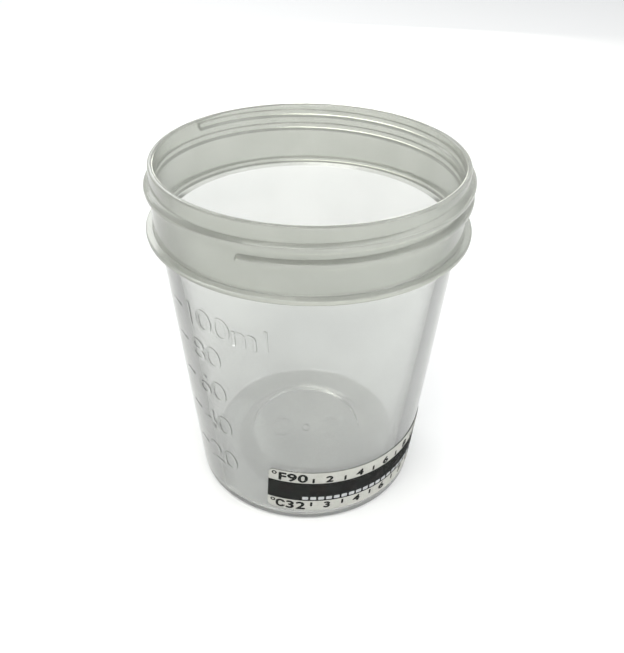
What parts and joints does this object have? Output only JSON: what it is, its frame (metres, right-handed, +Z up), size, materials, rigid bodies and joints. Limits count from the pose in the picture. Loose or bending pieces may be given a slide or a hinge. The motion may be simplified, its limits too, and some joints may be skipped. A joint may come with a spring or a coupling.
{
  "type": "sample cup",
  "caption": "Open translucent screw-neck sample cup with a tapered graduated body, a neck flange and a stick-on temperature strip.",
  "frame": {"origin": "centre of the foot, on the plane the cup rests on", "axes": "+Z up the cup's axis towards the mouth; -Y is the side between the graduations and the middle of the strip; +X to the right when looking along +Y"},
  "size_m": [0.0644, 0.0644, 0.074],
  "materials": {
    "translucent_polypropylene": "translucent natural polypropylene, satin",
    "clear_adhesive": "clear adhesive",
    "black_ink": "printed black ink under film",
    "white_ink": "printed off-white ink under film",
    "guide_ink": "printed white dashes",
    "liquid_crystal": "liquid crystal patch, dark when out of range",
    "clear_film": "clear polyester film, glossy"
  },
  "bodies": {
    "root": {"cup": "translucent_polypropylene", "strip_adhesive": "clear_adhesive", "strip_backing": "black_ink", "crystal_90f": "liquid_crystal", "crystal_92f": "liquid_crystal", "crystal_94f": "liquid_crystal", "crystal_96f": "liquid_crystal", "crystal_98f": "liquid_crystal", "crystal_100f": "liquid_crystal", "strip_fahrenheit_scale": "white_ink", "strip_celsius_scale": "white_ink", "fahrenheit_numbers": "black_ink", "celsius_numbers": "black_ink", "reading_guide": "guide_ink", "strip_face_film": "clear_film"}
  },
  "joints": []
}
